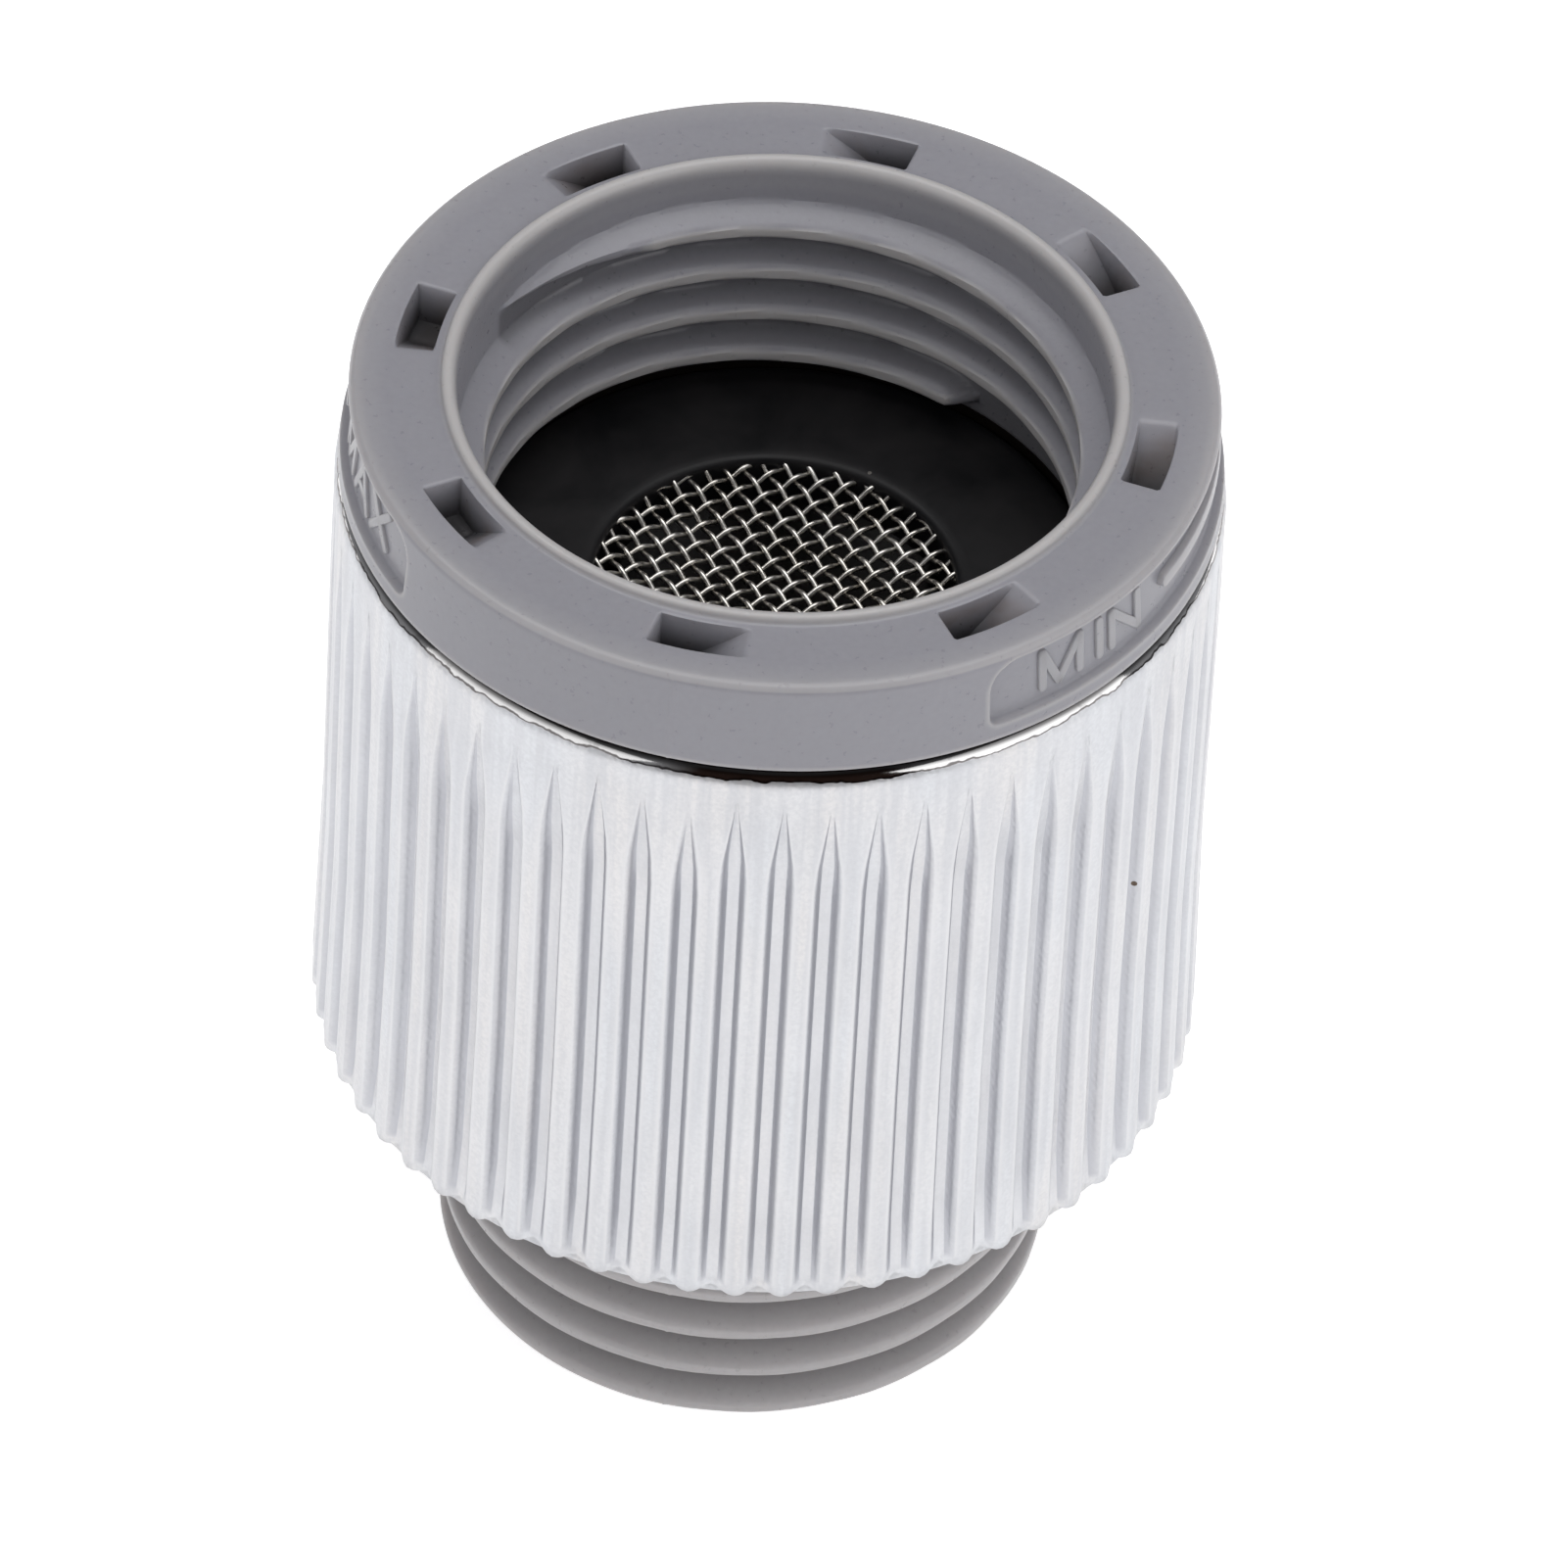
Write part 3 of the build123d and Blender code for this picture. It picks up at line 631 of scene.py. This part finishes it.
# The drive pockets: a wall clockwise, a floor, and a ramp anticlockwise
top = part_of(top_rows, (outer_rows, side_rows, edge_rows))
bearing = np.degrees(turn[top])
off_pocket = (bearing - first_pocket + pocket_pitch / 2) % pocket_pitch - pocket_pitch / 2
arc = np.radians(off_pocket) * pocket_mid_r + pocket_wall
depth = np.interp(arc, [-0.12, -0.05, -0.01, 0.03, 0.07, 0.13, 0.3, 1.15, 1.25, 2.8, 2.92, 3.04, 3.15],
                  [0.0, 0.004, 0.02, 0.07, 1.36, 1.47, 1.5, 1.5, 1.45, 0.20, 0.09, 0.02, 0.0])
across = np.minimum(collar_r[top] - pocket_in_r, pocket_out_r - collar_r[top])
open_share = np.interp(across, [-0.10, -0.06, -0.02, 0.02, 0.06, 0.13, 0.2],
                       [0.0, 0.003, 0.012, 0.05, 0.93, 0.985, 1.0])
sunk_by = depth * open_share
collar_z[top] -= sunk_by
stain[top] = np.clip(sunk_by / 0.5, 0, 1) * 0.4
# Painted shade deep in the pockets, and a painted highlight on the top face's outer part and its rounded edge
grime[top] = 0.85 * np.clip((sunk_by - 0.25) / 1.2, 0, 1)
thin[top] = np.maximum(0.36 * np.exp(-((collar_r[top] - 13.66) / 0.14) ** 2),
                       0.22 * np.clip((collar_r[top] - 12.75) / 0.9, 0, 1))

# The socket's thread: a ridge that winds clockwise and down from a feathered start
socket = part_of(socket_rows, (outer_rows, side_rows, edge_rows, top_rows, lip_rows))
start_bearing, ridge_turns, start_z = radians(154.0), 3.28, 36.33
behind = (start_bearing - turn[socket]) % tau
deepest = np.zeros_like(collar_r[socket])
under_start = np.clip((start_z - thread_pitch * behind / tau - collar_z[socket]) / 0.3, 0.0, 1.0)
for whole_turns in range(4):
    wound = behind + tau * whole_turns
    middle_z = start_z - thread_pitch * wound / tau
    fade_in = np.clip(wound / radians(42.0), 0.0, 1.0) ** 0.8
    fade_out = np.clip((ridge_turns * tau - wound) / radians(5.0), 0.0, 1.0) ** 0.5
    grown = fade_in * fade_out
    offset = collar_z[socket] - middle_z
    rise = ridge(offset, 0.17 * grown, 0.02 + 0.66 * grown) * np.minimum(1.0, grown * 1.15)
    collar_r[socket] = np.minimum(collar_r[socket], socket_root_r - socket_ridge * rise)
    # Painted highlight on the thread's crests
    thin[socket] = np.maximum(thin[socket], 0.8 * np.clip((rise - 0.93) / 0.07, 0.0, 1.0))
    deepest = np.maximum(deepest, rise)
# Painted shade in the valleys under the thread's start
grime[socket] = 0.45 * under_start * np.clip(1.0 - 1.3 * deepest, 0.0, 1.0)

# Painted highlights on the lip, the rounded top edge and the lower edge of the side, and rust on the lip in front
lip = part_of(lip_rows, (outer_rows, side_rows, edge_rows, top_rows))
over_lip = np.arange(len(lip_rows))[:, None]
thin[lip] = np.interp(over_lip, [0, 3, 6, 9, 12], [0.15, 0.75, 0.9, 0.8, 0.1])
thin[part_of(edge_rows, (outer_rows, side_rows))] = 0.42
thin[side.start - 2:side.start] = 0.4
front_edge = np.exp(-(((turn[lip] - radians(250.0) + pi) % tau - pi) / radians(14.0)) ** 2)
stain[lip] = 0.8 * front_edge * np.interp(over_lip, [6, 9, 12], [0, 1, 0.3])

collar_skin = revolved("inlet_collar_moulding", collar_turns, collar_r, collar_z, thin=thin, stain=stain, grime=grime)
collar = shown("inlet_collar_moulding", collar_skin, grey_plastic, 42.0)
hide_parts("inlet_collar")
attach(collar, "valve_body")

# --- Turning marks
# Raised marks in the collar's recess, of the same moulding: the word for the smallest flow, a bar that
# runs round the back, and the word for the largest flow.
mark_points, mark_faces = [], []
mark_r = 13.9
end_steps = 8


def raised_stroke(start, end, half_width=0.165, lift=0.1):
    """A raised stroke with round ends from one (bearing, level) to another, laid on the recess's floor."""
    scale = radians(1.0) * mark_r
    a, b = Vector((start[0] * scale, start[1])), Vector((end[0] * scale, end[1]))
    way = (b - a).normalized()
    off = Vector((-way.y, way.x))
    steps = max(1, int((b - a).length / 0.5))
    base = len(mark_points)
    outline = []
    for k in range(steps + 1):
        outline.append((a.lerp(b, k / steps), -off))
    for k in range(1, end_steps):
        outline.append((b, -off * cos(pi * k / end_steps) + way * sin(pi * k / end_steps)))
    for k in range(steps + 1):
        outline.append((b.lerp(a, k / steps), off))
    for k in range(1, end_steps):
        outline.append((a, off * cos(pi * k / end_steps) - way * sin(pi * k / end_steps)))
    levels = ((1.1, -0.05), (1.0, 0.02), (0.94, 0.75 * lift), (0.84, 0.96 * lift), (0.6, lift))
    for share, rise in levels:
        for centre, direction in outline:
            spot = centre + direction * half_width * share
            turn_at, z = spot.x / mark_r, spot.y
            r = wall_r(z) - recess_depth + rise
            mark_points.append((r * cos(turn_at) * mm, r * sin(turn_at) * mm, z * mm))
    n = len(outline)
    for ring_at in range(len(levels) - 1):
        for k in range(n):
            low, high = base + ring_at * n, base + (ring_at + 1) * n
            mark_faces.append((low + k, low + (k + 1) % n, high + (k + 1) % n, high + k))
    # The flat top, and the same at the bottom turned over: a strip between the ends, and a cap at each end
    far_side = 2 * steps + end_steps
    for ring, way_round in ((base + (len(levels) - 1) * n, 1), (base, -1)):
        for k in range(steps):
            strip = [ring + k, ring + k + 1, ring + far_side - k - 1, ring + far_side - k]
            mark_faces.append(strip[::way_round])
        mark_faces.append([ring + steps + k for k in range(end_steps + 1)][::way_round])
        mark_faces.append(([ring + far_side + k for k in range(end_steps)] + [ring])[::way_round])


low_z, high_z = 35.93, 37.27
letters = {
    "M": [((0, 0), (0, 1)), ((0, 1), (0.42, 0)), ((0.42, 0), (1, 1)), ((1, 1), (1, 0))],
    "I": [((0, 0), (0, 1))],
    "N": [((0, 0), (0, 1)), ((0, 1), (1, 0)), ((1, 0), (1, 1))],
    "A": [((0, 0), (0.5, 1)), ((0.5, 1), (1, 0)), ((0.2, 0.36), (0.8, 0.36))],
    "X": [((0, 0), (1, 1)), ((0, 1), (1, 0))],
}
for letter, left, wide in (("M", -51.9, 6.3), ("I", -42.0, 0.0), ("N", -39.6, 5.4),
                           ("M", 185.6, 6.3), ("A", 194.2, 6.0), ("X", 202.2, 5.2)):
    for one, two in letters[letter]:
        raised_stroke(*[(left + wide * x, low_z + (high_z - low_z) * y) for x, y in (one, two)])
raised_stroke((-27.9, 36.72), (181.3, 36.72), half_width=0.27, lift=0.22)
marks_mesh = bpy.data.meshes.new("turning_marks")
marks_mesh.from_pydata(mark_points, [], mark_faces)
# A painted highlight on the raised marks
marks_mesh.attributes.new("thin", "FLOAT", "POINT").data.foreach_set("value", [0.3] * len(mark_points))
marks = shown("turning_marks", marks_mesh, grey_plastic, 50.0)
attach(marks, "valve_body")

# --- Inlet washer
# The flat washer of black rubber on the socket's seat, with a low step round its hole. It lies loose
# in the relief under the thread and is squeezed when a hose is screwed in.
washer_profile = [(5.95, 27.5), (6.05, 27.4), (8.0, 27.4), (10.3, 27.4), (10.42, 27.46), (10.45, 27.6), (10.45, 28.4),
                  (10.45, 29.2), (10.42, 29.32), (10.32, 29.39), (10.1, 29.4), (9.4, 29.4), (8.9, 29.4), (8.6, 29.39),
                  (8.3, 29.375), (8.0, 29.37), (7.2, 29.365), (6.45, 29.36), (6.2, 29.35), (6.06, 29.31), (5.98, 29.24),
                  (5.95, 29.12), (5.95, 28.9), (5.95, 28.0)]
washer_steps = 160
washer_turns = np.arange(washer_steps) * tau / washer_steps
wave = 1.0 + 0.0006 * np.sin(3 * washer_turns + 0.7)
washer_r = np.array([[r] for r, z in washer_profile]) * wave
washer_z = np.repeat(np.array([[z] for r, z in washer_profile]), washer_steps, axis=1)
washer_z = washer_z + np.where(washer_z > 29.0, 0.02 * np.sin(2 * washer_turns + 1.0) - 0.02, 0.0)
washer = shown("inlet_washer", revolved("inlet_washer", washer_turns, washer_r, washer_z), black_rubber)
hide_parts("sealing_washer")
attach(washer, "valve_body")

# --- Filter screen
# A disc of plain woven stainless wire in the washer's hole, its cut edge gripped by the rubber.
# Every wire passes over one crossing wire and under the next.
wire_steel, tree = blank_material("stainless_wire")
skin = group_node(tree, grain, Grain_Scale=9000.0, Mottle_Scale=600.0)
tone = ranged(tree, skin.outputs["Tone"], 0.35, 0.65, 0.0, 1.0)
steel = blend(tree, tone, (0.58, 0.55, 0.50, 1), (0.78, 0.76, 0.72, 1))
bump = put(tree, "ShaderNodeBump", {"Height": skin.outputs["Height"], "Strength": 0.08, "Distance": 0.00002})
steel_shader = put(tree, "ShaderNodeBsdfPrincipled", {
    "Base Color": steel, "Metallic": 1.0, "Roughness": ranged(tree, skin.outputs["Tone"], 0.3, 0.7, 0.22, 0.36),
    "Normal": bump.outputs[0]})
put(tree, "ShaderNodeOutputMaterial", {"Surface": steel_shader.outputs[0]})

cloth, given = geometry_tree(
    "woven_wire", ("Wire Spacing", "Wire Radius", "Disc Radius", "Cloth Level", "Dish Depth", "Turn"), ("Wires",))
reach = calc(cloth, "MULTIPLY", given["Disc Radius"], 1.02)
sets = []
for lay in (0, 1):
    gaps_aside = calc(cloth, "MULTIPLY", calc(cloth, "SUBTRACT", given["Wires"], 1.0), 0.5)
    last = calc(cloth, "MULTIPLY", given["Wire Spacing"], gaps_aside)
    first = calc(cloth, "MULTIPLY", last, -1.0)
    row = put(cloth, "GeometryNodeMeshLine", {
        "Count": given["Wires"],
        "Start Location": put(cloth, "ShaderNodeCombineXYZ", {"XY"[1 - lay]: first}).outputs[0],
        "Offset": put(cloth, "ShaderNodeCombineXYZ", {"XY"[1 - lay]: given["Wire Spacing"]}).outputs[0]})
    wire = put(cloth, "GeometryNodeCurvePrimitiveLine", {
        "Start": put(cloth, "ShaderNodeCombineXYZ", {"XY"[lay]: calc(cloth, "MULTIPLY", reach, -1.0)}).outputs[0],
        "End": put(cloth, "ShaderNodeCombineXYZ", {"XY"[lay]: reach}).outputs[0]})
    laid = put(cloth, "GeometryNodeInstanceOnPoints", {"Points": row.outputs[0], "Instance": wire.outputs[0]})
    laid = put(cloth, "GeometryNodeRealizeInstances", {"Geometry": laid.outputs[0]})
    fine_wire = put(cloth, "GeometryNodeResampleCurve", {
        "Curve": laid.outputs[0], "Length": calc(cloth, "DIVIDE", given["Wire Spacing"], 6.0)}, mode="LENGTH")
    spot = put(cloth, "ShaderNodeSeparateXYZ", {0: put(cloth, "GeometryNodeInputPosition").outputs[0]})
    crossings = [calc(cloth, "DIVIDE", spot.outputs[axis], given["Wire Spacing"]) for axis in "XY"]
    wave_x, wave_y = (calc(cloth, "COSINE", calc(cloth, "MULTIPLY", passed, pi)) for passed in crossings)
    over = calc(cloth, "MULTIPLY", calc(cloth, "MULTIPLY", wave_x, wave_y),
                calc(cloth, "MULTIPLY", given["Wire Radius"], 1.0 if lay else -1.0))
    off_axis = put(cloth, "ShaderNodeVectorMath", {0: put(cloth, "ShaderNodeCombineXYZ", {
        "X": spot.outputs["X"], "Y": spot.outputs["Y"]}).outputs[0]}, operation="LENGTH")
    outward_share = calc(cloth, "DIVIDE", off_axis.outputs["Value"], given["Disc Radius"])
    dish = calc(cloth, "MULTIPLY_ADD", outward_share, outward_share, -0.5)
    dish = calc(cloth, "MULTIPLY", dish, given["Dish Depth"])
    bent = put(cloth, "GeometryNodeSetPosition", {
        "Geometry": fine_wire.outputs[0],
        "Offset": put(cloth, "ShaderNodeCombineXYZ", {"Z": calc(cloth, "ADD", over, dish)}).outputs[0]})
    past = calc(cloth, "GREATER_THAN", off_axis.outputs["Value"], given["Disc Radius"])
    sets.append(put(cloth, "GeometryNodeDeleteGeometry", {
        "Geometry": bent.outputs[0], "Selection": past}, domain="POINT").outputs[0])
both = put(cloth, "GeometryNodeJoinGeometry")
for wires in sets:
    cloth.links.new(wires, both.inputs[0])
section = put(cloth, "GeometryNodeCurvePrimitiveCircle", {"Resolution": 7, "Radius": given["Wire Radius"]})
tubes = put(cloth, "GeometryNodeCurveToMesh", {
    "Curve": both.outputs[0], "Profile Curve": section.outputs[0], "Fill Caps": True})
set_down = put(cloth, "GeometryNodeTransform", {
    "Geometry": tubes.outputs[0],
    "Translation": put(cloth, "ShaderNodeCombineXYZ", {"Z": given["Cloth Level"]}).outputs[0],
    "Rotation": put(cloth, "ShaderNodeCombineXYZ", {"Z": given["Turn"]}).outputs[0]})
whole_cloth = put(cloth, "GeometryNodeRealizeInstances", {"Geometry": set_down.outputs[0]})
smooth_cloth = put(cloth, "GeometryNodeSetShadeSmooth", {"Geometry": whole_cloth.outputs[0]})
finished = put(cloth, "GeometryNodeSetMaterial", {"Geometry": smooth_cloth.outputs[0], "Material": given["Finish"]})
put(cloth, "NodeGroupOutput", {"Geometry": finished.outputs[0]})

screen = shown("filter_screen_cloth", bpy.data.meshes.new("filter_screen_cloth"), wire_steel)
screen = plain_mesh(screen, cloth, Wire_Spacing=0.6 * mm, Wire_Radius=0.092 * mm, Disc_Radius=6.15 * mm,
                    Cloth_Level=28.55 * mm, Dish_Depth=0.9 * mm, Turn=radians(36.0), Wires=21, Finish=wire_steel)
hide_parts("filter_screen")
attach(screen, "valve_body")

# --- Studio
# The valve stands on its outlet on a plain pale floor, under a wide soft light from above, weaker ones
# at both sides and a low one in front. Gloss alone sees the dark part of the room behind the camera.
floor_mesh = bpy.data.meshes.new("studio_floor")
floor_mesh.from_pydata([(-3, -3, 0), (3, -3, 0), (3, 3, 0), (-3, 3, 0)], [], [(0, 1, 2, 3)])
floor_paint, tree = blank_material("floor_paint")
mottle = group_node(tree, grain, Grain_Scale=300.0, Mottle_Scale=8.0)
paper = blend(tree, mottle.outputs["Tone"], (0.80, 0.80, 0.80, 1), (0.84, 0.84, 0.84, 1))
matt = put(tree, "ShaderNodeBsdfDiffuse", {"Color": paper})
seen = put(tree, "ShaderNodeLightPath")
direct = calc(tree, "MAXIMUM", seen.outputs["Is Camera Ray"], seen.outputs["Is Glossy Ray"])
direct = calc(tree, "MAXIMUM", direct, seen.outputs["Is Transmission Ray"])
strength = calc(tree, "MULTIPLY_ADD", direct, 0.30, 0.36)
lit = put(tree, "ShaderNodeEmission", {"Color": (1, 1, 1, 1), "Strength": strength})
white = put(tree, "ShaderNodeAddShader", {0: matt.outputs[0], 1: lit.outputs[0]})
put(tree, "ShaderNodeOutputMaterial", {"Surface": white.outputs[0]})
floor = shown("studio_floor", floor_mesh, floor_paint)

world = bpy.data.worlds.new("studio_room")
bpy.context.scene.world = world
world.use_nodes = True
tree = world.node_tree
tree.nodes.clear()
way = put(tree, "ShaderNodeSeparateXYZ", {0: put(tree, "ShaderNodeTexCoord").outputs["Generated"]})
ahead = calc(tree, "MAXIMUM", calc(tree, "MULTIPLY", way.outputs["Y"], -1.0), 0.01)
slant = calc(tree, "SUBTRACT", calc(tree, "DIVIDE", way.outputs["X"], ahead), 0.2)
ahead = ranged(tree, calc(tree, "ABSOLUTE", slant), 0.5, 0.72, 1.0, 0.0)
low = ranged(tree, way.outputs["Z"], 0.75, 0.9, 1.0, 0.0)
seen = put(tree, "ShaderNodeLightPath")
dark = calc(tree, "MULTIPLY", calc(tree, "MULTIPLY", ahead, low), seen.outputs["Is Glossy Ray"])
room = blend(tree, dark, (0.78, 0.79, 0.82, 1), (0.06, 0.034, 0.027, 1))
unlit = put(tree, "ShaderNodeBackground", {"Color": room, "Strength": 0.26})
backdrop = put(tree, "ShaderNodeBackground", {"Color": (1, 1, 1, 1), "Strength": 1.0})
sky = put(tree, "ShaderNodeMixShader", {
    0: seen.outputs["Is Camera Ray"], 1: unlit.outputs[0], 2: backdrop.outputs[0]})
put(tree, "ShaderNodeOutputWorld", {"Surface": sky.outputs[0]})


def soft_lamp(name, place, aim, wide, high, power):
    """A rectangular studio lamp that faces a point."""
    data = bpy.data.lights.new(name, "AREA")
    data.shape, data.size, data.size_y, data.energy = "RECTANGLE", wide, high, power
    lamp = bpy.data.objects.new(name, data)
    lamp.location = place
    lamp.rotation_euler = (Vector(aim) - Vector(place)).to_track_quat("-Z", "Y").to_euler()
    bpy.context.scene.collection.objects.link(lamp)
    return lamp


soft_lamp("overhead_lamp", (0.0, 0.12, 0.62), (0, 0, 0.02), 0.7, 0.5, 2.3)
soft_lamp("left_lamp", (-0.50, -0.30, 0.28), (0, 0, 0.02), 0.6, 0.5, 0.8)
soft_lamp("right_lamp", (0.52, -0.26, 0.28), (0, 0, 0.02), 0.6, 0.5, 1.3)
front_lamp = soft_lamp("front_lamp", (0.0, -0.50, 0.42), (0, 0, 0.005), 0.5, 0.25, 0.45)
front_lamp.visible_glossy = False

# --- Camera
# Stands as the photograph's camera did: in front, looking down by 44.6 degrees, and leaning by 3.3.
camera_elevation, camera_distance = radians(44.64), 350.0 * mm
frame_pixels, focal_pixels = 1601.0, 10796.0
axis_pixel = (779.6, 804.0)  # where the point that the camera aims at lies in the frame
aim_at = Vector((0, 0, 20.0 * mm))
outward = Vector((0, -cos(camera_elevation), sin(camera_elevation)))
camera_right, camera_up = Vector((1, 0, 0)), Vector((0, sin(camera_elevation), cos(camera_elevation)))
camera_data = bpy.data.cameras.new("camera")
camera_data.sensor_width, camera_data.lens = 36.0, focal_pixels / frame_pixels * 36.0
camera_data.clip_start, camera_data.clip_end = 0.01, 20.0
camera = bpy.data.objects.new("camera", camera_data)
bpy.context.scene.collection.objects.link(camera)
lean = Matrix.Rotation(radians(3.31), 3, "Z")
middle_pixel = 0.5 * frame_pixels
shift_by = Vector((middle_pixel - axis_pixel[0], axis_pixel[1] - middle_pixel)) * camera_distance / focal_pixels
facing = Matrix((camera_right, camera_up, outward)).transposed() @ lean
eye = aim_at + outward * camera_distance
stand = eye + facing @ Vector((shift_by.x, shift_by.y, 0.0))
camera.matrix_world = Matrix.Translation(stand) @ facing.to_4x4()
bpy.context.scene.camera = camera
bpy.context.scene.view_settings.view_transform = "Standard"
